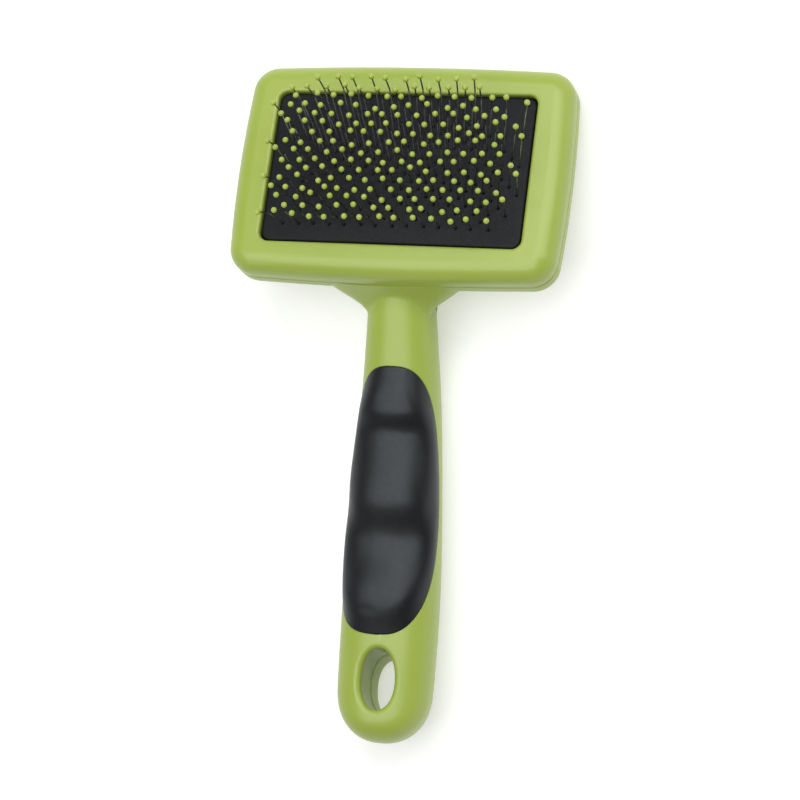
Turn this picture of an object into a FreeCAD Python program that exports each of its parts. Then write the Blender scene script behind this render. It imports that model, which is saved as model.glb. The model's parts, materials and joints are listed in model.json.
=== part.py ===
"""Slicker brush: a rectangular cushioned head of ball-tipped wire pins on a cranked handle.

Units are millimetres.  The brush is laid out in a head frame first: X is the width, Y runs from the
handle towards the far edge of the head, and Z points out of the pin side, with zero on the front of
the bezel at the middle of its window.  At the end everything is turned about X, so that the brush
lies on its back on z = 0 with its pins up, and is moved to the middle of its own box.
"""

import FreeCAD, Part
import math
import os
import random

V = FreeCAD.Vector

# Head casing
HEAD_HALF_X = 48.3
HEAD_HALF_Y = 31.7
BOW_X = 1.4
BOW_Y = 1.2
HEAD_DEPTH = 16.2
CORNER_R = 7.8
EDGE_R = 5.5
WALL = 2.2
SEAM_Z = -8.2
SEAM_SOFTEN = 0.4
LAP_HEIGHT = 1.8
LAP_CLEARANCE = 0.05
INNER_EDGE_R = 3.3
SMALLEST_CORNER_R = 1.0

# Window in the bezel
WINDOW_X = 78.3
WINDOW_Y = 46.4
WINDOW_R = 2.8
WINDOW_EDGE_R = 0.9
BEZEL_LIP = 2.2

# Cushion: a domed rubber membrane on foam, on a hard plate, on posts of the rear shell
MEMBRANE_THICK = 1.2
MEMBRANE_EDGE_Z = -1.1
MEMBRANE_RISE = 3.4
MEMBRANE_GAP = 0.35
FLANGE_X = 85.0
FLANGE_Y = 53.0
FLANGE_R = 4.0
FOAM_X = 84.0
FOAM_Y = 52.0
CROWN_SPACE = 0.75
PLATE_TOP_Z = -7.4
PLATE_THICK = 1.5
PLATE_X = 88.0
PLATE_Y = 56.0
POST_R = 2.6
POSTS = ((-38, -22), (38, -22), (-38, 22), (38, 22), (-38, 0), (38, 0), (0, 22))

# Pins: U-shaped wire staples, two pins each, with a moulded ball on every end
WIRE_R = 0.22
BALL_R = 0.84
HOLE_SLACK = 0.04
DRILL_DEPTH = 6.0
ROW_PITCH = 2.14
FIRST_ROW_Y = 14.3
STAPLE_PITCH = 9.4
STAPLE_SPAN = 5.05
ROW_SHIFT = 2.38
FIRST_ROW_X = 0.3
FIELD_MIDDLE_X = 0.9
STAPLES_IN_ROW = (5, 6, 7, 7, 7, 7, 7, 7, 7, 7, 7, 7, 7, 7, 6, 7)
TIP_Z = 13.4
FAN_X = 0.09
FAN_Y = 0.31
LEAN_Y = 2.95
KNEE_AT = 0.62
KNEE_PUSH = 1.4
KNEE_R = 2.0
CROWN_R = 0.5
STRAY_BASE = 0.12
STRAY_TIP = 0.42
PIN_SEED = 7

# Handle stations from the neck to the butt: y, z of the middle, half width, half depth, squareness
STATIONS = (
    (-20.0, -14.0, 9.8, 8.6, 2.2),
    (-34.0, -22.0, 9.9, 9.2, 2.2),
    (-60.0, -33.7, 11.6, 10.2, 2.4),
    (-88.0, -42.2, 13.3, 10.3, 2.5),
    (-116.0, -49.8, 14.3, 10.4, 2.5),
    (-144.0, -56.0, 14.0, 10.4, 2.5),
    (-160.0, -58.9, 13.2, 10.3, 2.5),
)
NECK_SLOPE = (0.0, 0.56, 0.0, 0.0, 0.0)
HANDLE_TOP_Y = -27.0
HANDLE_END_Y = -157.6
BUTT_WIDTH_RUN = 15.5
BUTT_DEPTH_RUN = 8.5
BUTT_WIDTH_POWER = 2.25
BUTT_DEPTH_POWER = 2.3
HANDLE_STEP = 9.0
BUTT_SECTIONS = 9
BUTT_LAST_TURN = 0.985
SECTION_POINTS = 28
HANDLE_WALL = 2.4
PARTING_BEHIND = 2.0
PARTING_POINTS = 13

# Hanging hole
HOLE_Y = -140.7
HOLE_X_SIZE = 10.2
HOLE_Y_SIZE = 17.4
HOLE_POWER = 2.15
HOLE_WALL = 2.2
HOLE_LIP_R = 1.6
HOLE_LEDGE = 0.25

# Soft grip set into the front shell.  Its edge is an oval of length and of turn round the handle.
# Towards the butt it is squarer on the brush's left, where x is negative, than on its right.
GRIP_MIDDLE_Y = -87.8
GRIP_HALF_LENGTH = 38.5
GRIP_HALF_TURN = math.radians(87)
GRIP_NECK_POWER = 2.35
GRIP_LEFT_BUTT_POWER = 2.65
GRIP_RIGHT_BUTT_POWER = 1.82
GRIP_THICK = 2.0
GRIP_POINTS = 9
GRIP_CORE_REACH = 46.0
GRIP_CORE_SECTIONS = 12

# Neck of the rear shell, round the root of the handle.
# Flare on the head's near side: y, half width, top z, bottom z.
FLARE_SECTIONS = (
    (-30.0, 22.4, -1.5, -18.3),
    (-31.2, 20.6, -2.6, -18.6),
    (-32.4, 18.6, -5.2, -19.0),
    (-33.4, 16.4, -8.8, -19.5),
    (-34.5, 13.9, -11.9, -20.2),
    (-35.7, 11.6, -14.4, -20.8),
    (-37.0, 9.9, -16.4, -21.4),
    (-39.0, 8.4, -18.4, -22.0),
    (-42.0, 7.2, -20.4, -23.4),
)
FLARE_POWER = 2.6
ARCH_R = 2.5
# Ramp on the head's back: y of the middle, half width, half depth, square to the handle's line.
RAMP_SECTIONS = (
    (-37.0, 10.0, 9.7),
    (-33.0, 10.6, 10.1),
    (-27.0, 12.2, 10.4),
    (-15.0, 14.5, 9.8),
    (-3.0, 13.0, 6.5),
)
RAMP_HOLLOW_Y = -24.0
NECK_END_Y = -34.0
NECK_END_LEAN = 0.2
NECK_FRONT_GAP = 0.35

# A size larger than the brush in every direction, for cutting blocks
FAR = 250.0

# Places along the handle that are tried for the point that it lies on
REST_SAMPLES = 200
REST_STEP = 0.5
MESH_ERROR = 0.05

# How closely an edge has to match when one is picked out by its place
EDGE_MATCH = 0.05
SHORTEST_ARCH_EDGE = 1.0


def unit(vector):
    """The vector at length one."""
    return vector * (1.0 / vector.Length)


def smooth(column, y):
    """A handle value at y, by cubic Hermite pieces through the stations."""
    points = [(row[0], row[column]) for row in reversed(STATIONS)]
    count = len(points)
    if y > points[-1][0]:
        return points[-1][1] + (y - points[-1][0]) * NECK_SLOPE[column]
    place = 0
    while place < count - 2 and y > points[place + 1][0]:
        place += 1

    def slope(index):
        low = max(index - 1, 0)
        high = min(index + 1, count - 1)
        return (points[high][1] - points[low][1]) / (points[high][0] - points[low][0])

    (y0, v0), (y1, v1) = points[place], points[place + 1]
    span = y1 - y0
    t = (y - y0) / span
    start = v0 * (2 * t ** 3 - 3 * t ** 2 + 1)
    start_slope = slope(place) * span * (t ** 3 - 2 * t ** 2 + t)
    end = v1 * (3 * t ** 2 - 2 * t ** 3)
    end_slope = slope(place + 1) * span * (t ** 3 - t ** 2)
    return start + start_slope + end + end_slope


def handle_frame(y):
    """The middle of the handle at y, and the direction out of its front."""
    step = 0.5
    rise = (smooth(1, y + step) - smooth(1, y - step)) / (2 * step)
    front = unit(V(0, -rise, 1))
    return V(0, y, smooth(1, y)), front


def superellipse(half_x, half_y, power, count):
    """Points of a closed superellipse, starting at its lowest point."""
    points = []
    for index in range(count):
        angle = -math.pi / 2 + 2 * math.pi * index / count
        c = math.cos(angle)
        s = math.sin(angle)
        x = half_x * math.copysign(abs(c) ** (2 / power), c)
        y = half_y * math.copysign(abs(s) ** (2 / power), s)
        points.append((x, y))
    return points


def closed_curve(points):
    """One smooth closed wire through the points."""
    curve = Part.BSplineCurve()
    curve.interpolate(Points=points, PeriodicFlag=True)
    return Part.Wire([curve.toShape()])


def handle_section(y, half_width, half_depth):
    """A closed section of the handle, square to its line."""
    middle, front = handle_frame(y)
    outline = superellipse(half_width, half_depth, smooth(4, y), SECTION_POINTS)
    return closed_curve([middle + V(x, 0, 0) + front * d for x, d in outline])


def butt_factor(distance, run, power):
    """How much of a size is left at a distance before the handle's end."""
    if distance >= run:
        return 1.0
    return (1 - (1 - distance / run) ** power) ** (1 / power)


def handle_solid(inset):
    """The handle's closed outer form, or the same form set in by a wall."""
    end = HANDLE_END_Y + inset
    top = HANDLE_TOP_Y - inset
    places = []
    straight = top - (end + BUTT_WIDTH_RUN)
    steps = round(straight / HANDLE_STEP)
    for index in range(steps):
        places.append(top - straight * index / steps)
    for index in range(BUTT_SECTIONS + 1):
        turn = math.pi / 2 * index / BUTT_SECTIONS * BUTT_LAST_TURN
        places.append(end + BUTT_WIDTH_RUN * (1 - math.sin(turn)))
    wires = []
    for y in places:
        left = max(y - end, 0)
        wide = butt_factor(left, BUTT_WIDTH_RUN, BUTT_WIDTH_POWER)
        deep = butt_factor(left, BUTT_DEPTH_RUN, BUTT_DEPTH_POWER)
        half_width = (smooth(2, y) - inset) * wide
        half_depth = (smooth(3, y) - inset) * deep
        wires.append(handle_section(y, half_width, half_depth))
    return Part.makeLoft(wires, True, False)


def hole_prism(extra):
    """The oval of the hanging hole, grown by extra, right through the handle."""
    outline = superellipse(HOLE_X_SIZE / 2 + extra, HOLE_Y_SIZE / 2 + extra, HOLE_POWER, SECTION_POINTS)
    wire = closed_curve([V(x, HOLE_Y + y, -FAR) for x, y in outline])
    return Part.Face(wire).extrude(V(0, 0, FAR))


def lipped(handle, extra):
    """The handle's form with the hanging hole through it and both mouths of the hole rounded."""
    form = handle.cut(hole_prism(extra))
    rims = []
    for edge in form.Edges:
        box = edge.BoundBox
        beside = box.XLength < HOLE_X_SIZE + HOLE_WALL and abs(box.Center.y - HOLE_Y) < HOLE_WALL
        if beside and box.YLength > HOLE_Y_SIZE / 2:
            rims.append(edge)
    return form.makeFillet(HOLE_LIP_R, [edge for edge in rims if edge.BoundBox.ZLength < HOLE_X_SIZE])


def region_above(line, low_x, high_x):
    """Everything above a smooth line drawn in the plane x = 0, as a block between two places across."""
    curve = Part.BSplineCurve()
    curve.interpolate(line)
    first = line[0]
    last = line[-1]
    corner_a = V(0, last.y, FAR)
    corner_b = V(0, first.y, FAR)
    edges = [
        curve.toShape(),
        Part.LineSegment(last, corner_a).toShape(),
        Part.LineSegment(corner_a, corner_b).toShape(),
        Part.LineSegment(corner_b, first).toShape(),
    ]
    face = Part.Face(Part.Wire(edges))
    face.translate(V(low_x, 0, 0))
    return face.extrude(V(high_x - low_x, 0, 0))


def parting_region():
    """Everything in front of the sheet where the two halves of the handle meet."""
    high = HANDLE_TOP_Y + HANDLE_STEP * 2
    low = HANDLE_END_Y - HANDLE_STEP
    line = []
    for index in range(PARTING_POINTS):
        middle, front = handle_frame(high + (low - high) * index / (PARTING_POINTS - 1))
        line.append(middle - front * PARTING_BEHIND)
    return region_above(line, -FAR / 2, FAR / 2)


def grip_line(end, power):
    """The edge of the soft grip from its middle to one end, 1 or -1, drawn in the plane x = 0."""
    line = []
    for index in range(GRIP_POINTS):
        along = math.sin(math.pi / 2 * index / (GRIP_POINTS - 1))
        y = GRIP_MIDDLE_Y + GRIP_HALF_LENGTH * along * end
        turn = GRIP_HALF_TURN * (1 - along ** power) ** (1 / power)
        middle, front = handle_frame(y)
        line.append(middle + front * smooth(3, y) * math.cos(turn) ** (2 / smooth(4, y)))
    return line


def grip_region():
    """Everything in front of the edge of the soft grip: the neck half, and the butt half's two sides."""
    neck = region_above(grip_line(1, GRIP_NECK_POWER), -FAR / 2, FAR / 2)
    left = region_above(grip_line(-1, GRIP_LEFT_BUTT_POWER), -FAR / 2, 0)
    right = region_above(grip_line(-1, GRIP_RIGHT_BUTT_POWER), 0, FAR / 2)
    return neck.fuse([left, right])


def grip_core():
    """The handle's form under the soft grip."""
    wires = []
    for index in range(GRIP_CORE_SECTIONS):
        along = 1 - 2 * index / (GRIP_CORE_SECTIONS - 1)
        y = GRIP_MIDDLE_Y + GRIP_CORE_REACH * along
        wires.append(handle_section(y, smooth(2, y) - GRIP_THICK, smooth(3, y) - GRIP_THICK))
    return Part.makeLoft(wires, True, False)


def head_outline(inset, z):
    """The head's outline with its four sides bowed out, as a wire at a height."""
    x = HEAD_HALF_X - inset
    y = HEAD_HALF_Y - inset
    corners = [V(x, y, z), V(-x, y, z), V(-x, -y, z), V(x, -y, z)]
    bulges = [V(0, y + BOW_Y, z), V(-x - BOW_X, 0, z), V(0, -y - BOW_Y, z), V(x + BOW_X, 0, z)]
    edges = []
    for index in range(4):
        following = corners[(index + 1) % 4]
        edges.append(Part.Arc(corners[index], bulges[index], following).toShape())
    return Part.Wire(edges)


def upright_edges(solid):
    """The straight edges of a solid that run along Z."""
    found = []
    for edge in solid.Edges:
        ends = [vertex.Point for vertex in edge.Vertexes]
        if len(ends) == 2 and math.hypot(ends[0].x - ends[1].x, ends[0].y - ends[1].y) < 1e-6:
            found.append(edge)
    return found


def edges_at(solid, z):
    """The edges of a solid that lie wholly at one height."""
    found = []
    for edge in solid.Edges:
        box = edge.BoundBox
        if abs(box.ZMin - z) < 1e-4 and abs(box.ZMax - z) < 1e-4:
            found.append(edge)
    return found


def head_prism(inset, low, high):
    """A prism of the head's outline, set in by a wall, with rounded corners."""
    solid = Part.Face(head_outline(inset, low)).extrude(V(0, 0, high - low))
    return solid.makeFillet(max(CORNER_R - inset, SMALLEST_CORNER_R), upright_edges(solid))


def slab(size_x, size_y, radius, low, high):
    """A flat block with rounded corners, centred on the window."""
    solid = Part.makeBox(size_x, size_y, high - low, V(-size_x / 2, -size_y / 2, low))
    return solid.makeFillet(radius, upright_edges(solid))


def window_slab(gap, low, high):
    """The window's own shape, smaller all round by a gap."""
    return slab(WINDOW_X - 2 * gap, WINDOW_Y - 2 * gap, WINDOW_R - gap / 2, low, high)


def front_bezel():
    """The front frame of the head: a lipped tray with a window."""
    outer = head_prism(0, SEAM_Z, 0)
    outer = outer.makeFillet(EDGE_R, edges_at(outer, 0))
    outer = outer.makeFillet(SEAM_SOFTEN, edges_at(outer, SEAM_Z))
    hollow = head_prism(WALL, SEAM_Z - 1, -BEZEL_LIP)
    hollow = hollow.makeFillet(INNER_EDGE_R, edges_at(hollow, -BEZEL_LIP))
    rebate = head_prism(WALL / 2, SEAM_Z - 1, SEAM_Z + LAP_HEIGHT + LAP_CLEARANCE)
    frame = outer.cut(hollow).cut(rebate).cut(window_slab(0, -HEAD_DEPTH, HEAD_DEPTH))
    rim = []
    for edge in edges_at(frame, 0):
        middle = edge.BoundBox.Center
        across = WINDOW_X / 2 + EDGE_MATCH
        along = WINDOW_Y / 2 + EDGE_MATCH
        if abs(middle.x) <= across and abs(middle.y) <= along:
            rim.append(edge)
    return frame.makeFillet(WINDOW_EDGE_R, rim)


def flare_solid():
    """The flare that runs from the head's near side down to the sides of the handle."""
    wires = []
    for y, half_width, top, bottom in FLARE_SECTIONS:
        outline = superellipse(half_width, (top - bottom) / 2, FLARE_POWER, SECTION_POINTS)
        wires.append(closed_curve([V(x, y, (top + bottom) / 2 + z) for x, z in outline]))
    return Part.makeLoft(wires, True, False, False, 3)


def arch_solid(handle):
    """The flare, hollowed out for the handle, with a soft arch where the two meet."""
    both = flare_solid().fuse(handle)
    near = FLARE_SECTIONS[-1][0]
    far = FLARE_SECTIONS[0][0] + EDGE_MATCH
    arch = []
    for edge in both.Edges:
        box = edge.BoundBox
        if near <= box.YMin and box.YMax <= far and box.YLength > SHORTEST_ARCH_EDGE:
            arch.append(edge)
    return both.makeFillet(ARCH_R, arch).cut(handle)


def ramp_solid(inset):
    """The sleeve that carries the handle's root into the back of the head."""
    wires = []
    for y, half_width, half_depth in RAMP_SECTIONS:
        wires.append(handle_section(y, half_width - inset, half_depth - inset))
    return Part.makeLoft(wires, True, False, False, 3)


def beyond_neck():
    """Everything on the bench side of the plane where the neck stops."""
    block = Part.makeBox(FAR, FAR, FAR, V(-FAR / 2, -FAR, -FAR / 2))
    block.rotate(V(0, 0, 0), V(1, 0, 0), -math.degrees(math.atan(NECK_END_LEAN)))
    block.translate(V(0, NECK_END_Y, smooth(1, NECK_END_Y)))
    return block


def rear_shell(handle):
    """The back of the head in one piece with the neck that holds the handle."""
    low = -HEAD_DEPTH
    outer = head_prism(0, low, SEAM_Z)
    outer = outer.makeFillet(EDGE_R, edges_at(outer, low))
    outer = outer.makeFillet(SEAM_SOFTEN, edges_at(outer, SEAM_Z))
    hollow = head_prism(WALL, low + WALL, SEAM_Z + 1)
    hollow = hollow.makeFillet(INNER_EDGE_R, edges_at(hollow, low + WALL))
    tongue = head_prism(WALL / 2 + LAP_CLEARANCE, SEAM_Z - WALL, SEAM_Z + LAP_HEIGHT)
    tongue = tongue.cut(head_prism(WALL, SEAM_Z - 2 * WALL, SEAM_Z + 2 * LAP_HEIGHT))
    above = Part.makeBox(FAR, FAR, FAR, V(-FAR / 2, -FAR / 2, SEAM_Z - NECK_FRONT_GAP))
    neck = arch_solid(handle).fuse(ramp_solid(0).cut(beyond_neck())).cut(above)
    far_side = Part.makeBox(FAR, FAR, FAR, V(-FAR / 2, RAMP_HOLLOW_Y, -FAR / 2))
    neck_hollow = ramp_solid(HANDLE_WALL).common(far_side)
    shell = outer.cut(hollow).fuse(neck).cut(neck_hollow).fuse(tongue)
    floor = PLATE_TOP_Z - PLATE_THICK
    for x, y in POSTS:
        post = Part.makeCylinder(POST_R, floor - low - WALL / 2, V(x, y, low + WALL / 2))
        shell = shell.fuse(post)
    plate_space = head_prism(WALL, floor, SEAM_Z + LAP_HEIGHT + 1)
    return shell.cut(plate_space).cut(handle)


def dome(lower, clearance):
    """A block whose top is the cushion's dome, lowered by a thickness."""
    half_x = WINDOW_X / 2
    half_y = WINDOW_Y / 2
    surface = Part.BezierSurface()
    surface.increase(2, 2)
    for i, x in enumerate((-half_x, 0, half_x)):
        for j, y in enumerate((-half_y, 0, half_y)):
            rise = 4 * MEMBRANE_RISE if i == 1 and j == 1 else 0
            surface.setPole(i + 1, j + 1, V(x, y, MEMBRANE_EDGE_Z - lower + rise))
    over = surface.toShape().extrude(V(0, 0, FAR))
    return window_slab(clearance, PLATE_TOP_Z, TIP_Z).cut(over)


def dome_height(x, y):
    """The height of the cushion's top over a point of the window."""
    across = 1 - (2 * x / WINDOW_X) ** 2
    along = 1 - (2 * y / WINDOW_Y) ** 2
    return MEMBRANE_EDGE_Z + MEMBRANE_RISE * across * along


def pin_field():
    """Every staple, as two pins of (base, knee, tip), in a list for each row."""
    chance = random.Random(PIN_SEED)
    rows = []
    for row, count in enumerate(STAPLES_IN_ROW):
        y = FIRST_ROW_Y - ROW_PITCH * row
        slack = FIRST_ROW_X + ROW_SHIFT * row - FIELD_MIDDLE_X + STAPLE_PITCH * (count - 1) / 2
        first = FIELD_MIDDLE_X - STAPLE_PITCH * (count - 1) / 2
        first += (slack + STAPLE_PITCH / 2) % STAPLE_PITCH - STAPLE_PITCH / 2
        staples = []
        for place in range(count):
            middle = first + STAPLE_PITCH * place
            staples.append([one_pin(chance, middle + side * STAPLE_SPAN / 2, y) for side in (-1, 1)])
        rows.append(staples)
    return rows


def one_pin(chance, x, y):
    """The base, knee and tip of one pin, fanned out from the cushion and a little uneven."""
    x += chance.uniform(-1, 1) * STRAY_BASE
    y += chance.uniform(-1, 1) * STRAY_BASE
    base = V(x, y, dome_height(x, y))
    tip_x = x * (1 + FAN_X) + chance.gauss(0, STRAY_TIP)
    field_y = FIRST_ROW_Y - ROW_PITCH * (len(STAPLES_IN_ROW) - 1) / 2
    tip_y = y + LEAN_Y + (y - field_y) * FAN_Y + chance.gauss(0, STRAY_TIP)
    tip = V(tip_x, tip_y, TIP_Z)
    knee = base + (tip - base) * KNEE_AT + V(0, KNEE_PUSH, 0)
    return base, knee, tip


def rounded_path(points, radii):
    """Straight runs through the points, joined by tangent arcs of the given radii."""
    edges = []
    start = points[0]
    for index in range(1, len(points) - 1):
        corner = points[index]
        back = unit(points[index - 1] - corner)
        ahead = unit(points[index + 1] - corner)
        half = math.acos(max(-1.0, min(1.0, back.dot(ahead)))) / 2
        radius = radii[index - 1]
        reach = radius / math.tan(half)
        centre = corner + unit(back + ahead) * (radius / math.sin(half))
        enter = corner + back * reach
        leave = corner + ahead * reach
        middle = centre + unit(corner - centre) * radius
        edges.append(Part.LineSegment(start, enter).toShape())
        edges.append(Part.Arc(enter, middle, leave).toShape())
        start = leave
    edges.append(Part.LineSegment(start, points[-1]).toShape())
    return Part.Wire(edges)


def staple_solid(pins):
    """One U-shaped staple, from ball to ball, with its crown under the membrane."""
    under = []
    for base, knee, tip in pins:
        down = unit(base - knee)
        under.append(base + down * ((MEMBRANE_THICK + CROWN_SPACE / 2) / abs(down.z)))
    points = [pins[0][2], pins[0][1], under[0], under[1], pins[1][1], pins[1][2]]
    path = rounded_path(points, (KNEE_R, CROWN_R, CROWN_R, KNEE_R))
    circle = Part.Wire([Part.makeCircle(WIRE_R, points[0], unit(points[1] - points[0]))])
    return path.makePipeShell([circle], True, False)


def ball_solid(pin):
    """The ball on the end of a pin, with the blind hole that the wire fills."""
    knee, tip = pin[1], pin[2]
    up = unit(tip - knee)
    mouth = -math.sqrt(BALL_R ** 2 - WIRE_R ** 2)
    pole = V(0, 0, BALL_R)
    edges = [
        Part.Arc(V(WIRE_R, 0, mouth), V(BALL_R, 0, 0), pole).toShape(),
        Part.LineSegment(pole, V(0, 0, 0)).toShape(),
        Part.LineSegment(V(0, 0, 0), V(WIRE_R, 0, 0)).toShape(),
        Part.LineSegment(V(WIRE_R, 0, 0), V(WIRE_R, 0, mouth)).toShape(),
    ]
    ball = Part.Face(Part.Wire(edges)).revolve(V(0, 0, 0), V(0, 0, 1), 360)
    turn = FreeCAD.Rotation(V(0, 0, 1), up)
    return ball.transformed(FreeCAD.Placement(tip, turn).toMatrix(), True)


def cushion_membrane(rows):
    """The black rubber skin: a flange under the bezel's lip and a dome with a hole for each pin."""
    top = -BEZEL_LIP - LAP_CLEARANCE
    flange = slab(FLANGE_X, FLANGE_Y, FLANGE_R, top - MEMBRANE_THICK, top)
    skin = dome(0, MEMBRANE_GAP).fuse(flange)
    skin = skin.cut(dome(MEMBRANE_THICK, MEMBRANE_GAP + MEMBRANE_THICK))
    drills = []
    for staples in rows:
        for pins in staples:
            for base, knee, tip in pins:
                up = unit(knee - base)
                start = base - up * DRILL_DEPTH / 2
                drills.append(Part.makeCylinder(WIRE_R + HOLE_SLACK, DRILL_DEPTH, start, up))
    below = Part.makeBox(FAR, FAR, FAR, V(-FAR / 2, -FAR / 2, top - MEMBRANE_THICK - FAR))
    return skin.cut(below).cut(drills)


def cushion_foam():
    """The springy block between the membrane and the plate, clear of the staples' crowns."""
    top = -BEZEL_LIP - LAP_CLEARANCE - MEMBRANE_THICK
    block = slab(FOAM_X, FOAM_Y, FLANGE_R, PLATE_TOP_Z, top - LAP_CLEARANCE)
    return block.fuse(dome(MEMBRANE_THICK + CROWN_SPACE, MEMBRANE_GAP + 2 * MEMBRANE_THICK))


def support_plate():
    """The hard plate under the foam."""
    return slab(PLATE_X, PLATE_Y, FLANGE_R, PLATE_TOP_Z - PLATE_THICK, PLATE_TOP_Z)


def handle_pieces(handle):
    """The two moulded halves of the handle and the soft grip in the front one."""
    core = handle_solid(HANDLE_WALL).cut(hole_prism(HOLE_WALL))
    hollow = lipped(handle, 0).cut(core)
    front = hollow.common(parting_region())
    rear = lipped(handle, -HOLE_LEDGE).cut(core).cut(parting_region())
    grip = handle.common(grip_region()).cut(grip_core())
    return front.cut(grip_region().cut(grip_core())), rear, grip


def rest_placement(handle):
    """The turn and shift that lay the brush on its back, centred on its own box."""
    edge = V(0, HEAD_HALF_Y + BOW_Y - EDGE_R, EDGE_R - HEAD_DEPTH)
    tilt = 0.0
    for index in range(REST_SAMPLES):
        y = HANDLE_END_Y + BUTT_DEPTH_RUN + index * REST_STEP
        middle, front = handle_frame(y)
        back = middle - front * smooth(3, y)
        reach = edge - back
        tilt = max(tilt, math.atan2(reach.z, reach.y) - math.asin(EDGE_R / reach.Length))
    turn = FreeCAD.Rotation(V(1, 0, 0), -math.degrees(tilt))
    floor = turn.multVec(edge).z - EDGE_R
    far = turn.multVec(V(0, edge.y, -EDGE_R)).y + EDGE_R
    near = min(turn.multVec(point).y for point in handle.tessellate(MESH_ERROR)[0])
    return FreeCAD.Placement(V(0, -(far + near) / 2, -floor), turn)


def main():
    """Builds every piece and writes one file for each."""
    handle = handle_solid(0)
    pieces = {"front_bezel": front_bezel(), "head_rear_shell": rear_shell(handle)}
    front, rear, grip = handle_pieces(handle)
    pieces["handle_front_shell"] = front
    pieces["handle_rear_shell"] = rear
    pieces["grip_inlay"] = grip
    rows = pin_field()
    pieces["cushion_membrane"] = cushion_membrane(rows)
    pieces["cushion_foam"] = cushion_foam()
    pieces["support_plate"] = support_plate()
    for number, staples in enumerate(rows, 1):
        wires = [staple_solid(pins) for pins in staples]
        balls = [ball_solid(pin) for pins in staples for pin in pins]
        pieces["pin_row_%02d" % number] = Part.makeCompound(wires)
        pieces["pin_tips_row_%02d" % number] = Part.makeCompound(balls)
    rest = rest_placement(handle)
    os.makedirs("parts", exist_ok=True)
    for name, shape in pieces.items():
        shape.transformed(rest.toMatrix(), True).exportStep("parts/%s.step" % name)


main()
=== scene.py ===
"""Looks for the slicker brush: camera, light, materials, and the soft and rounded pieces.

Shapes are laid out in the head frame of the brush, in millimetres: X is the width, Y runs from the handle
to the far edge of the head, and Z points out of the pin side, from the front of the bezel.  The record's
mount on the head's back says how that frame lies, and every mesh is turned into metres there.
"""

import json
import math
import random

import bmesh
import bpy
from mathutils import Matrix, Vector, noise
from mathutils.geometry import delaunay_2d_cdt


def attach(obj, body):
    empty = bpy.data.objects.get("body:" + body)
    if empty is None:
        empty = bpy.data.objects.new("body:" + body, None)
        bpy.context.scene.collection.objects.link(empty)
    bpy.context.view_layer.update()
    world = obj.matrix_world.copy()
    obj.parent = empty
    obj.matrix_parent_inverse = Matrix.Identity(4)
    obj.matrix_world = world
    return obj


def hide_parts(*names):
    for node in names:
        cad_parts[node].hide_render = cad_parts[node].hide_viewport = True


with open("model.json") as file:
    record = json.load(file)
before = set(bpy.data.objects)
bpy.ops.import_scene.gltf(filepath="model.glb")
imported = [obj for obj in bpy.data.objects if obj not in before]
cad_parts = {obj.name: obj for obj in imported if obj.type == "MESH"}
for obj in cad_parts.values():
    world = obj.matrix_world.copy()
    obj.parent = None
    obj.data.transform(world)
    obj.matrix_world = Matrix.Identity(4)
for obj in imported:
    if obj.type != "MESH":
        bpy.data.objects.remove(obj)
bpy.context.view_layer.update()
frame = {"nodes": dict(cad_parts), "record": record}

MM = 0.001
MICRON = 0.000001

# The mount on the head's back, in the head frame
HEAD_BACK = Vector((0.0, 15.0, -16.2))

# Camera: where it looks, from where, how it leans, its lens and sensor in millimetres, and the nearest thing
# it shows
CAMERA_TARGET = Vector((-0.0036, 0.0013, 0.0))
CAMERA_AWAY = Vector((0.289, 0.045, 0.956))
CAMERA_DISTANCE = 0.774
CAMERA_UP = Vector((-0.042, 1.0, 0.0))
CAMERA_LENS = 116.9
CAMERA_SENSOR = 36.0
CAMERA_NEAR = 0.01

# White, for light and surround
WHITE = (1.0, 1.0, 1.0, 1.0)

# Soft lights that hang level over the brush: name, place, size, turn, power
SOFTBOXES = (
    ("handle_softbox", (-0.15, 0.075, 0.9), (1.04, 0.85), math.radians(20), 7.1),
    ("head_softbox", (0.57, 0.79, 0.9), (1.76, 0.50), 0.0, 11.4),
)

# Floor: half the side of its square, its colour, the light it gives off, its roughness and its shine
FLOOR_HALF = 3.0
FLOOR_COLOUR = (0.72, 0.72, 0.72, 1.0)
FLOOR_GLOW = 0.39
FLOOR_ROUGHNESS = 0.9
FLOOR_SHINE = 0.1

# Brightness of the surround at the horizon and overhead, and the heights of direction it fades between
SKY_HORIZON = 0.68
SKY_OVERHEAD = 0.18
SKY_FADE = (0.20, 0.42)

# Colours that each surface drifts between
GREEN = ((0.296, 0.382, 0.053), (0.314, 0.402, 0.064))
GREEN_WORN = (0.37, 0.47, 0.12)
GRIP_BLACK = ((0.0026, 0.0030, 0.0042), (0.0040, 0.0045, 0.0058))
GRIP_SHEEN = (0.90, 0.97, 1.0, 1.0)
CUSHION_BLACK = ((0.0042, 0.0046, 0.0062), (0.0066, 0.0071, 0.0092))
WIRE_STEEL = ((0.32, 0.32, 0.34), (0.50, 0.50, 0.52))
TIP_GREEN = ((0.30, 0.38, 0.045), (0.37, 0.45, 0.07))

# Roughness that each surface drifts between
GREEN_ROUGHNESS = (0.29, 0.37)
GRIP_ROUGHNESS = (0.36, 0.44)
CUSHION_ROUGHNESS = (0.50, 0.66)
WIRE_ROUGHNESS = (0.24, 0.36)
TIP_ROUGHNESS = (0.14, 0.22)
HIDDEN_ROUGHNESS = 0.8

# Shine: how strongly each surface mirrors
GREEN_IOR = 1.56
GRIP_IOR = 1.47
CUSHION_SHINE = 0.24

# Pointiness where wear begins to show on a green edge, and where it is full
WEAR = (0.56, 0.72)

# Brightness of the hidden inner pieces, and how much paler their grain is
FOAM_GREY = 0.05
PLATE_GREY = 0.03
GRAIN_PALER = 1.5
GRAIN_BLUER = 1.05

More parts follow.
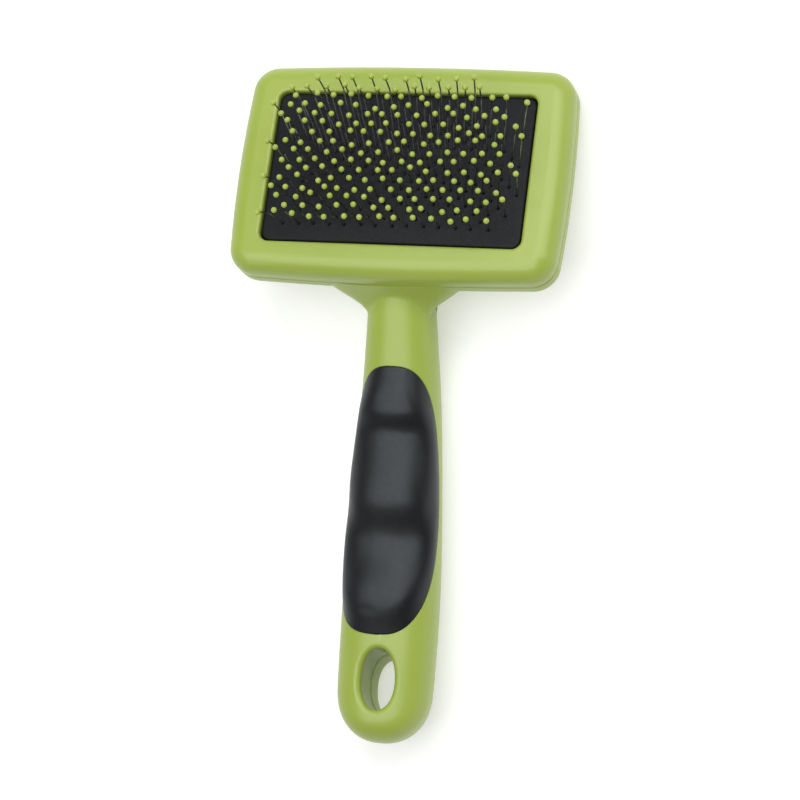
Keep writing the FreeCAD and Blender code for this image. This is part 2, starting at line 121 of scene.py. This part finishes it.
# The middle range of a noise texture, where nearly all of its values lie
NOISE_RANGE = (0.3, 0.7)

# Sockets of the mix node for colours: its share, its two colours and its result
MIX_SHARE = 0
MIX_COLOURS = (6, 7)
MIX_RESULT = 2

# Handle stations from the neck to the butt: y, z of the middle, half width, half depth, squareness
STATIONS = (
    (-20.0, -14.0, 9.8, 8.6, 2.2),
    (-34.0, -22.0, 9.9, 9.2, 2.2),
    (-60.0, -33.7, 11.6, 10.2, 2.4),
    (-88.0, -42.2, 13.3, 10.3, 2.5),
    (-116.0, -49.8, 14.3, 10.4, 2.5),
    (-144.0, -56.0, 14.0, 10.4, 2.5),
    (-160.0, -58.9, 13.2, 10.3, 2.5),
)
# Columns of the stations
MIDDLE_Z, HALF_WIDTH, HALF_DEPTH, SQUARENESS = 1, 2, 3, 4

# Distance to each side over which the handle's slope is taken
SLOPE_STEP = 0.5

# Soft grip: the oval of its edge, its thickness, and the roll of its edge
GRIP_MIDDLE_Y = -87.8
GRIP_HALF_LENGTH = 38.5
GRIP_HALF_TURN = math.radians(87)
GRIP_HALF_ARC = 19.5
GRIP_NECK_POWER = 2.35
GRIP_LEFT_BUTT_POWER = 2.65
GRIP_RIGHT_BUTT_POWER = 1.82
GRIP_THICK = 1.9
GRIP_EDGE_R = 0.45
GRIP_INSET = 0.0015
GRIP_CELLS = 150
# Finger swells down the middle of the grip: y and height of each crest and hollow
GRIP_SWELLS = (
    (-49.3, 0.0),
    (-61.8, 0.75),
    (-69.2, -1.05),
    (-87.2, 0.85),
    (-99.2, -1.90),
    (-115.2, 0.90),
    (-126.3, 0.10),
)
# Round the handle the swells are full within this share of this turn, and gone by the same share beyond it
GRIP_SWELL_HALF_TURN = math.radians(58)
GRIP_SWELL_FULL = 0.25
# How far the grip stands proud of the handle's own form: the pillow inside its rim, its middle, and a
# slight unevenness
GRIP_PILLOW = 1.3
GRIP_PILLOW_REACH = 9.0
GRIP_CROWN = 0.25
GRIP_WAVE = 0.05
GRIP_WAVE_LENGTH = 9.0
# Dents: y, x, half length, half width, height
GRIP_DENTS = (
    (-91.0, 11.8, 9.0, 3.6, -0.45),
    (-91.0, -11.8, 9.0, 3.6, -0.45),
    (-119.0, -3.4, 2.4, 4.5, -0.18),
)

# How fast the hill of a dent falls away
HILL_FALL = 2.2

# How strongly the grip's cells crowd towards its rim
GRIP_CROWDING = 0.6

# Window of the bezel, and the rubber cushion that bulges in it
WINDOW_X = 78.3
WINDOW_Y = 46.4
WINDOW_R = 2.8
CUSHION_GAP = 0.35
CUSHION_EDGE_Z = -1.1
CUSHION_RISE = 3.4
CUSHION_THICK = 1.2
CUSHION_ROLL = 0.7
CUSHION_ROLL_STEPS = (0.0, 0.03, 0.12, 0.28, 0.48, 0.75, 1.1)
CUSHION_CELL = 1.15
CUSHION_CORNER_STEPS = 8
CUSHION_SIDE_STEPS = (66, 38)
FLANGE_X = 85.0
FLANGE_Y = 53.0
FLANGE_TOP_Z = -2.25

# Filling of the skin with triangles: only inside its outline, and the distance at which points are one
KEEP_INSIDE = 1
SAME_POINT = 1e-5

# Pucker of the rubber round each pin: distance from the wire and height
PUCKER = ((0.0, -0.55), (0.24, -0.50), (0.33, -0.24), (0.45, 0.03), (0.62, 0.08), (0.85, 0.03), (1.05, 0.0))
PUCKER_POINTS = 9

# Places of the pins on the cushion, as the CAD lays them out
ROW_PITCH = 2.14
FIRST_ROW_Y = 14.3
STAPLE_PITCH = 9.4
STAPLE_SPAN = 5.05
ROW_SHIFT = 2.38
FIRST_ROW_X = 0.3
FIELD_MIDDLE_X = 0.9
STAPLES_IN_ROW = (5, 6, 7, 7, 7, 7, 7, 7, 7, 7, 7, 7, 7, 7, 6, 7)
STRAY_BASE = 0.12
PIN_SEED = 7


def head_frame():
    """The turn and shift from the head frame in millimetres to the row frame in metres."""
    mount = next(m for m in frame["record"]["mounts"] if m["name"] == "head_back")
    out = -Vector(mount["axis"]).normalized()
    tilt = math.atan2(out.y, out.z)
    turn = Matrix.Rotation(-tilt, 4, "X")
    origin = Vector(mount["pos_m"]) - turn @ (HEAD_BACK * MM)
    return Matrix.Translation(origin) @ turn @ Matrix.Scale(MM, 4)


HEAD_TO_ROW = head_frame()


# ---------------------------------------------------------------- stage

def make_camera():
    """A long lens that looks down on the brush from the right."""
    away = CAMERA_AWAY.normalized()
    right = CAMERA_UP.cross(away).normalized()
    up = away.cross(right)
    camera = bpy.data.objects.new("camera", bpy.data.cameras.new("camera"))
    camera.matrix_world = Matrix((right, up, away)).transposed().to_4x4()
    camera.location = CAMERA_TARGET + away * CAMERA_DISTANCE
    camera.data.lens = CAMERA_LENS
    camera.data.sensor_width = CAMERA_SENSOR
    camera.data.clip_start = CAMERA_NEAR
    bpy.context.scene.collection.objects.link(camera)
    bpy.context.scene.camera = camera


def make_softbox(name, place, size, turn, power):
    """A wide soft light that hangs level over the brush."""
    data = bpy.data.lights.new(name, "AREA")
    data.shape = "RECTANGLE"
    data.size, data.size_y = size
    data.energy = power
    light = bpy.data.objects.new(name, data)
    light.location = place
    light.rotation_euler.z = turn
    bpy.context.scene.collection.objects.link(light)


def make_sky():
    """A white surround that is pale round the horizon and dimmer overhead."""
    world = bpy.data.worlds.new("studio")
    world.use_nodes = True
    tree = world.node_tree
    background = tree.nodes["Background"]
    background.inputs["Color"].default_value = WHITE
    direction = tree.nodes.new("ShaderNodeTexCoord")
    height = tree.nodes.new("ShaderNodeSeparateXYZ")
    fade = tree.nodes.new("ShaderNodeMapRange")
    fade.interpolation_type = "SMOOTHSTEP"
    fade.inputs["From Min"].default_value, fade.inputs["From Max"].default_value = SKY_FADE
    fade.inputs["To Min"].default_value = SKY_HORIZON
    fade.inputs["To Max"].default_value = SKY_OVERHEAD
    tree.links.new(direction.outputs["Generated"], height.inputs["Vector"])
    tree.links.new(height.outputs["Z"], fade.inputs["Value"])
    tree.links.new(fade.outputs["Result"], background.inputs["Strength"])
    bpy.context.scene.world = world


def make_floor():
    """A wide white floor under the brush."""
    mesh = bpy.data.meshes.new("floor")
    corners = ((-1, -1), (1, -1), (1, 1), (-1, 1))
    mesh.from_pydata([(x * FLOOR_HALF, y * FLOOR_HALF, 0) for x, y in corners], [], [(0, 1, 2, 3)])
    floor = bpy.data.objects.new("floor", mesh)
    bpy.context.scene.collection.objects.link(floor)
    paint = bpy.data.materials.new("floor")
    paint.use_nodes = True
    shader = paint.node_tree.nodes["Principled BSDF"]
    shader.inputs["Base Color"].default_value = FLOOR_COLOUR
    shader.inputs["Emission Color"].default_value = WHITE
    shader.inputs["Emission Strength"].default_value = FLOOR_GLOW
    shader.inputs["Roughness"].default_value = FLOOR_ROUGHNESS
    shader.inputs["Specular IOR Level"].default_value = FLOOR_SHINE
    mesh.materials.append(paint)


def make_stage():
    """A white floor, a pale surround and the soft lights."""
    make_floor()
    make_sky()
    bpy.context.scene.view_settings.view_transform = "Standard"
    for softbox in SOFTBOXES:
        make_softbox(*softbox)


# ---------------------------------------------------------------- materials

class Paint:
    """A node material built step by step round one Principled shader."""

    def __init__(self, name):
        self.material = bpy.data.materials.new(name)
        self.material.use_nodes = True
        self.tree = self.material.node_tree
        self.shader = self.tree.nodes["Principled BSDF"]

    def node(self, kind, **values):
        """A new node, with its own settings and its inputs given by name."""
        made = self.tree.nodes.new(kind)
        for key, value in values.items():
            if hasattr(made, key):
                setattr(made, key, value)
            else:
                made.inputs[key].default_value = value
        return made

    def link(self, output, target):
        """Joins an output to an input."""
        self.tree.links.new(output, target)

    def set(self, name, value):
        """Sets one input of the shader."""
        self.shader.inputs[name].default_value = value

    def noise(self, scale, detail, roughness=0.5, stretch=(1, 1, 1)):
        """Noise in the row frame; scale is in cells per metre."""
        place = self.node("ShaderNodeTexCoord")
        mapping = self.node("ShaderNodeMapping")
        mapping.inputs["Scale"].default_value = stretch
        texture = self.node("ShaderNodeTexNoise", Scale=scale, Detail=detail, Roughness=roughness)
        self.link(place.outputs["Object"], mapping.inputs["Vector"])
        self.link(mapping.outputs["Vector"], texture.inputs["Vector"])
        return texture.outputs["Fac"]

    def spread(self, value, ends, source=NOISE_RANGE):
        """A value stretched from its source range to lie between two ends."""
        made = self.node("ShaderNodeMapRange")
        made.inputs["From Min"].default_value, made.inputs["From Max"].default_value = source
        made.inputs["To Min"].default_value, made.inputs["To Max"].default_value = ends
        self.link(value, made.inputs["Value"])
        return made.outputs["Result"]

    def mix(self, share, first, second):
        """A blend of two colours, given as values or outputs."""
        made = self.node("ShaderNodeMix", data_type="RGBA")
        for place, colour in zip(MIX_COLOURS, (first, second)):
            if isinstance(colour, tuple):
                made.inputs[place].default_value = colour + (1.0,)
            else:
                self.link(colour, made.inputs[place])
        self.link(share, made.inputs[MIX_SHARE])
        return made.outputs[MIX_RESULT]

    def bumps(self, *layers):
        """Stacks bumps, each a height output and its depth in metres."""
        normal = None
        for height, depth in layers:
            made = self.node("ShaderNodeBump", Strength=1.0, Distance=depth)
            self.link(height, made.inputs["Height"])
            if normal is not None:
                self.link(normal, made.inputs["Normal"])
            normal = made.outputs["Normal"]
        self.link(normal, self.shader.inputs["Normal"])

    def edges(self, source):
        """How much a point stands on a convex edge, from 0 to 1."""
        geometry = self.node("ShaderNodeNewGeometry")
        return self.spread(geometry.outputs["Pointiness"], (0.0, 1.0), source)

    def clouded(self, noise, colours):
        """A colour that drifts between two by a noise."""
        return self.mix(self.spread(noise, (0.0, 1.0)), *colours)

    def colour(self, output):
        """Gives the shader its colour."""
        self.link(output, self.shader.inputs["Base Color"])

    def roughen(self, noise, ends):
        """Gives the shader a roughness that drifts between two ends by a noise."""
        self.link(self.spread(noise, ends), self.shader.inputs["Roughness"])


def green_plastic():
    """Satin moulded lime plastic, with a fine spark-eroded grain and slightly paler worn edges."""
    paint = Paint("green_plastic")
    colour = paint.clouded(paint.noise(scale=28.0, detail=3.0), GREEN)
    worn = paint.mix(paint.edges(WEAR), colour, GREEN_WORN)
    paint.colour(worn)
    paint.roughen(paint.noise(scale=900.0, detail=3.0), GREEN_ROUGHNESS)
    paint.bumps(
        (paint.noise(scale=5200.0, detail=2.0), 6 * MICRON),
        (paint.noise(scale=160.0, detail=1.0), 20 * MICRON),
    )
    paint.set("IOR", GREEN_IOR)
    return paint.material


def grip_rubber():
    """Satin black soft-touch rubber."""
    paint = Paint("grip_rubber")
    paint.colour(paint.clouded(paint.noise(scale=60.0, detail=4.0), GRIP_BLACK))
    paint.roughen(paint.noise(scale=700.0, detail=4.0), GRIP_ROUGHNESS)
    paint.bumps(
        (paint.noise(scale=3600.0, detail=3.0), 9 * MICRON),
        (paint.noise(scale=300.0, detail=2.0), 20 * MICRON),
    )
    paint.set("IOR", GRIP_IOR)
    paint.set("Specular Tint", GRIP_SHEEN)
    return paint.material


def cushion_rubber():
    """Matt charcoal rubber sheet."""
    paint = Paint("cushion_rubber")
    paint.colour(paint.clouded(paint.noise(scale=90.0, detail=4.0), CUSHION_BLACK))
    paint.roughen(paint.noise(scale=1500.0, detail=3.0), CUSHION_ROUGHNESS)
    paint.set("Specular IOR Level", CUSHION_SHINE)
    paint.bumps((paint.noise(scale=2600.0, detail=4.0, roughness=0.65), 40 * MICRON))
    return paint.material


def plain_dark(name, value):
    """A hidden inner material, with a little grain."""
    paint = Paint(name)
    low = (value, value, value * GRAIN_BLUER)
    high = (value * GRAIN_PALER,) * 3
    paint.colour(paint.clouded(paint.noise(scale=400.0, detail=4.0), (low, high)))
    paint.set("Roughness", HIDDEN_ROUGHNESS)
    paint.bumps((paint.noise(scale=1800.0, detail=3.0), 50 * MICRON))
    return paint.material


def pin_wire():
    """Drawn steel wire, dulled along its length."""
    paint = Paint("pin_wire")
    streaks = paint.noise(scale=500.0, detail=3.0, stretch=(1, 1, 0.15))
    paint.colour(paint.clouded(streaks, WIRE_STEEL))
    paint.set("Metallic", 1.0)
    paint.roughen(paint.noise(scale=1200.0, detail=2.0), WIRE_ROUGHNESS)
    paint.bumps((paint.noise(scale=9000.0, detail=1.0, stretch=(1, 1, 0.1)), 4 * MICRON))
    return paint.material


def pin_tip_plastic():
    """Glossy lime plastic of the moulded balls."""
    paint = Paint("pin_tip_plastic")
    paint.colour(paint.clouded(paint.noise(scale=350.0, detail=2.0), TIP_GREEN))
    paint.roughen(paint.noise(scale=1500.0, detail=2.0), TIP_ROUGHNESS)
    paint.bumps((paint.noise(scale=2500.0, detail=2.0), 10 * MICRON))
    return paint.material


MATERIALS = {
    "green_plastic": green_plastic(),
    "grip_rubber": grip_rubber(),
    "cushion_rubber": cushion_rubber(),
    "cushion_foam": plain_dark("cushion_foam", FOAM_GREY),
    "support_plastic": plain_dark("support_plastic", PLATE_GREY),
    "pin_wire": pin_wire(),
    "pin_tip_plastic": pin_tip_plastic(),
}


def paint_frame():
    """Gives every CAD node the material of its slot."""
    for sub in frame["record"]["subparts"]:
        mesh = frame["nodes"][sub["node"]].data
        mesh.materials.clear()
        mesh.materials.append(MATERIALS[sub["material_slot"]])


# ---------------------------------------------------------------- pieces

def make_piece(name, points, faces, slot, *replaced):
    """A smooth piece from points in the head frame, in millimetres."""
    mesh = bpy.data.meshes.new(name)
    mesh.from_pydata([HEAD_TO_ROW @ Vector(point) for point in points], [], faces)
    mesh.validate()
    mesh.shade_smooth()
    mesh.materials.append(MATERIALS[slot])
    piece = bpy.data.objects.new(name, mesh)
    bpy.context.scene.collection.objects.link(piece)
    tidy = bmesh.new()
    tidy.from_mesh(mesh)
    bmesh.ops.recalc_face_normals(tidy, faces=tidy.faces)
    tidy.to_mesh(mesh)
    tidy.free()
    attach(piece, "root")
    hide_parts(*replaced)
    return piece


def smooth(column, y):
    """A handle value at y, by cubic Hermite pieces through the stations."""
    points = [(row[0], row[column]) for row in reversed(STATIONS)]
    last = len(points) - 1
    place = 0
    while place < last - 1 and y > points[place + 1][0]:
        place += 1

    def slope(index):
        low = max(index - 1, 0)
        high = min(index + 1, last)
        return (points[high][1] - points[low][1]) / (points[high][0] - points[low][0])

    (y0, v0), (y1, v1) = points[place], points[place + 1]
    span = y1 - y0
    t = (y - y0) / span
    start = v0 * (2 * t ** 3 - 3 * t ** 2 + 1)
    start_slope = slope(place) * span * (t ** 3 - 2 * t ** 2 + t)
    end = v1 * (3 * t ** 2 - 2 * t ** 3)
    end_slope = slope(place + 1) * span * (t ** 3 - t ** 2)
    return start + start_slope + end + end_slope


def handle_frame(y):
    """The middle of the handle at y, and the direction out of its front."""
    rise = (smooth(MIDDLE_Z, y + SLOPE_STEP) - smooth(MIDDLE_Z, y - SLOPE_STEP)) / (2 * SLOPE_STEP)
    return Vector((0, y, smooth(MIDDLE_Z, y))), Vector((0, -rise, 1)).normalized()


def handle_point(y, turn, inset):
    """A point of the handle's section at y, turned from its front, and set in by a distance."""
    middle, front = handle_frame(y)
    power = 2 / smooth(SQUARENESS, y)
    across = math.copysign(abs(math.sin(turn)) ** power, turn)
    out = math.cos(turn) ** power
    side = Vector(((smooth(HALF_WIDTH, y) - inset) * across, 0, 0))
    return middle + side + front * ((smooth(HALF_DEPTH, y) - inset) * out)


def bump(distance):
    """A smooth hill of height 1 and half width 1."""
    return math.exp(-HILL_FALL * distance * distance)


def eased(share):
    """A share from 0 to 1 with a soft start and a soft end."""
    share = min(max(share, 0.0), 1.0)
    return share * share * (3 - 2 * share)


def swell(y):
    """The height of the finger swells at y."""
    for (y0, h0), (y1, h1) in zip(GRIP_SWELLS, GRIP_SWELLS[1:]):
        if y >= y1:
            return h0 + (h1 - h0) * eased((y0 - y) / (y0 - y1))
    return GRIP_SWELLS[-1][1]


def grip_rise(y, x, turn, edge):
    """How far the grip stands above the handle's own form; edge is the distance in from its rim."""
    rise = GRIP_PILLOW + GRIP_CROWN * math.cos(turn) ** 2
    rise += swell(y) * (1 - eased(abs(turn) / GRIP_SWELL_HALF_TURN - GRIP_SWELL_FULL))
    for middle, side, half_length, half_width, height in GRIP_DENTS:
        rise += height * bump((y - middle) / half_length) * bump((x - side) / half_width)
    rise += GRIP_WAVE * noise.noise(Vector((x, y, 0)) / GRIP_WAVE_LENGTH)
    inward = min(edge / GRIP_PILLOW_REACH, 1.0)
    rise *= math.sin(math.pi / 2 * inward)
    if edge < GRIP_EDGE_R:
        rise -= GRIP_EDGE_R - math.sqrt(max(GRIP_EDGE_R ** 2 - (GRIP_EDGE_R - edge) ** 2, 0.0))
    return rise


def disc_cell(a, b):
    """A point of the unit disc for a point of the square from -1 to 1, kept in even cells."""
    return a * math.sqrt(1 - b * b / 2), b * math.sqrt(1 - a * a / 2)


def oval_power(along, turn):
    """How square the grip's oval is in the quarter that holds a point."""
    if along > 0:
        return GRIP_NECK_POWER
    return GRIP_LEFT_BUTT_POWER if turn < 0 else GRIP_RIGHT_BUTT_POWER


def oval_cell(a, b):
    """A point of the grip's oval, as its place along and its turn, and its share of the way out."""
    u, w = disc_cell(a, b)
    radius = math.hypot(u, w)
    if radius == 0:
        return 0.0, 0.0, 0.0
    power = oval_power(u, w)
    squared = (abs(u / radius) ** power + abs(w / radius) ** power) ** (1 / power)
    return u / squared, w / squared, radius


def rim_distance(along, turn, share):
    """About how far inside its rim a point of the grip lies."""
    if share == 0:
        return GRIP_HALF_ARC
    power = oval_power(along, turn)
    slope_along = (abs(along) / share) ** (power - 1) / GRIP_HALF_LENGTH
    slope_across = (abs(turn) / share) ** (power - 1) / GRIP_HALF_ARC
    return (1 - share) / math.hypot(slope_along, slope_across)


def crowded(index, count):
    """Places from -1 to 1 that crowd towards both ends."""
    even = 2 * index / count - 1
    return math.sin(even * math.pi / 2) * GRIP_CROWDING + even * (1 - GRIP_CROWDING)


def sheet_faces(rows, columns, first, second):
    """Faces of two grids of points and of the strip round their rims."""
    wide = columns + 1
    faces = []
    for row in range(rows):
        for column in range(columns):
            corner = row * wide + column
            quad = (corner, corner + 1, corner + wide + 1, corner + wide)
            faces.append(tuple(first + i for i in quad))
            faces.append(tuple(second + i for i in reversed(quad)))
    rim = list(range(wide))
    rim += [row * wide + columns for row in range(1, rows + 1)]
    rim += [rows * wide + column for column in range(columns - 1, -1, -1)]
    rim += [row * wide for row in range(rows - 1, 0, -1)]
    for place, start in enumerate(rim):
        following = rim[(place + 1) % len(rim)]
        faces.append((first + start, second + start, second + following, first + following))
    return faces


def make_grip():
    """The soft grip: a dented skin over its bed, closed underneath."""
    top = []
    bottom = []
    for row in range(GRIP_CELLS + 1):
        for column in range(GRIP_CELLS + 1):
            along, turn, share = oval_cell(crowded(row, GRIP_CELLS), crowded(column, GRIP_CELLS))
            y = GRIP_MIDDLE_Y + GRIP_HALF_LENGTH * along * (1 - GRIP_INSET)
            angle = GRIP_HALF_TURN * turn * (1 - GRIP_INSET)
            skin = handle_point(y, angle, 0)
            edge = rim_distance(along, turn, share)
            middle, _ = handle_frame(y)
            out = (skin - middle).normalized()
            top.append(skin + out * grip_rise(y, skin.x, angle, edge))
            bottom.append(handle_point(y, angle, GRIP_THICK))
    points = top + bottom
    faces = sheet_faces(GRIP_CELLS, GRIP_CELLS, 0, len(top))
    make_piece("soft_grip", points, faces, "grip_rubber", "grip_inlay")


def rounded_outline(size_x, size_y, radius):
    """Points of a rounded rectangle, counter-clockwise, evenly along its sides."""
    points = []
    for quarter in range(4):
        sign_x = (1, -1, -1, 1)[quarter]
        sign_y = (1, 1, -1, -1)[quarter]
        centre = Vector((sign_x * (size_x / 2 - radius), sign_y * (size_y / 2 - radius)))
        for step in range(CUSHION_CORNER_STEPS + 1):
            angle = math.pi / 2 * (quarter + step / CUSHION_CORNER_STEPS)
            points.append(centre + Vector((math.cos(angle), math.sin(angle))) * radius)
        start = points[-1]
        run = (size_x, size_y)[quarter % 2] - 2 * radius
        ahead = (Vector((-sign_x, 0)), Vector((0, -sign_y)))[quarter % 2]
        count = CUSHION_SIDE_STEPS[quarter % 2]
        for step in range(1, count):
            points.append(start + ahead * (run * step / count))
    return points


def pin_places():
    """Where every pin goes through the cushion, row by row."""
    chance = random.Random(PIN_SEED)
    places = []
    for row, count in enumerate(STAPLES_IN_ROW):
        y = FIRST_ROW_Y - ROW_PITCH * row
        slack = FIRST_ROW_X + ROW_SHIFT * row - FIELD_MIDDLE_X + STAPLE_PITCH * (count - 1) / 2
        first = FIELD_MIDDLE_X - STAPLE_PITCH * (count - 1) / 2
        first += (slack + STAPLE_PITCH / 2) % STAPLE_PITCH - STAPLE_PITCH / 2
        for place in range(count):
            for side in (-1, 1):
                x = first + STAPLE_PITCH * place + side * STAPLE_SPAN / 2
                stray_x = chance.uniform(-1, 1) * STRAY_BASE
                stray_y = chance.uniform(-1, 1) * STRAY_BASE
                # The CAD draws the stray of the pin's tip here, so two draws keep the bases in step
                chance.gauss(0, 1)
                chance.gauss(0, 1)
                places.append(Vector((x + stray_x, y + stray_y)))
    return places


def dome_height(x, y):
    """The height of the cushion's skin over a point of the window."""
    across = 1 - (2 * x / WINDOW_X) ** 2
    along = 1 - (2 * y / WINDOW_Y) ** 2
    return CUSHION_EDGE_Z + CUSHION_RISE * across * along


def inset_of(x, y, size_x, size_y, radius):
    """How far a point lies inside a rounded rectangle."""
    over_x = abs(x) - (size_x / 2 - radius)
    over_y = abs(y) - (size_y / 2 - radius)
    if over_x > 0 and over_y > 0:
        return radius - math.hypot(over_x, over_y)
    return radius - max(over_x, over_y)


def rolled(inset):
    """How far a rolled edge has dropped at a distance inside it."""
    if inset >= CUSHION_ROLL:
        return 0.0
    return CUSHION_ROLL - math.sqrt(max(CUSHION_ROLL ** 2 - (CUSHION_ROLL - inset) ** 2, 0.0))


def puckered(distance):
    """The height of the pucker at a distance from a pin."""
    for (near, low), (far, high) in zip(PUCKER, PUCKER[1:]):
        if distance <= far:
            return low + (high - low) * (distance - near) / (far - near)
    return 0.0


def cushion_plan(pins):
    """The points of the cushion's skin in plan: its rolled edge, the puckers, and an even filling."""
    size_x = WINDOW_X - 2 * CUSHION_GAP
    size_y = WINDOW_Y - 2 * CUSHION_GAP
    plan = []
    for inset in CUSHION_ROLL_STEPS:
        plan += rounded_outline(size_x - 2 * inset, size_y - 2 * inset, WINDOW_R - inset)
    outline = len(rounded_outline(size_x, size_y, WINDOW_R))
    for pin in pins:
        plan.append(pin)
        for distance, _ in PUCKER[1:]:
            for step in range(PUCKER_POINTS):
                angle = 2 * math.pi * (step + distance) / PUCKER_POINTS
                plan.append(pin + Vector((math.cos(angle), math.sin(angle))) * distance)
    clear = PUCKER[-1][0] + CUSHION_CELL / 3
    edge = CUSHION_ROLL_STEPS[-1] + CUSHION_CELL / 2
    rows = math.ceil(size_y / 2 / CUSHION_CELL)
    columns = math.ceil(size_x / 2 / CUSHION_CELL)
    for row in range(-rows, rows + 1):
        for column in range(-columns, columns + 1):
            point = Vector(((column + 0.5 * (row % 2)) * CUSHION_CELL, row * CUSHION_CELL))
            if inset_of(point.x, point.y, size_x, size_y, WINDOW_R) < edge:
                continue
            if min((point - pin).length for pin in pins) > clear:
                plan.append(point)
    return plan, outline


def skin_height(x, y, pins):
    """The height of the cushion's top, with its rolled edge and the pucker round each pin."""
    inset = inset_of(x, y, WINDOW_X - 2 * CUSHION_GAP, WINDOW_Y - 2 * CUSHION_GAP, WINDOW_R)
    nearest = min(math.hypot(x - pin.x, y - pin.y) for pin in pins)
    return dome_height(x, y) - rolled(inset) + puckered(nearest)


def make_cushion():
    """The rubber cushion: a puckered dome in the window, on a flange under the bezel's lip."""
    pins = pin_places()
    plan, outline = cushion_plan(pins)
    rim = list(range(outline))
    filled = delaunay_2d_cdt(plan, [], [rim], KEEP_INSIDE, SAME_POINT)
    points = [(p.x, p.y, skin_height(p.x, p.y, pins)) for p in filled[0]]
    faces = [tuple(face) for face in filled[2]]
    flange = rounded_outline(FLANGE_X, FLANGE_Y, WINDOW_R)
    wall = rounded_outline(WINDOW_X - 2 * CUSHION_GAP, WINDOW_Y - 2 * CUSHION_GAP, WINDOW_R)
    rings = [
        [(p.x, p.y, FLANGE_TOP_Z) for p in wall],
        [(p.x, p.y, FLANGE_TOP_Z) for p in flange],
        [(p.x, p.y, FLANGE_TOP_Z - CUSHION_THICK) for p in flange],
    ]
    above = rim
    for ring in rings:
        here = [len(points) + place for place in range(len(ring))]
        points += ring
        for place in range(len(ring)):
            following = (place + 1) % len(ring)
            faces.append((above[place], above[following], here[following], here[place]))
        above = here
    faces.append(tuple(above))
    cushion = make_piece("rubber_cushion", points, faces, "cushion_rubber", "cushion_membrane")


make_camera()
make_stage()
paint_frame()
make_grip()
make_cushion()
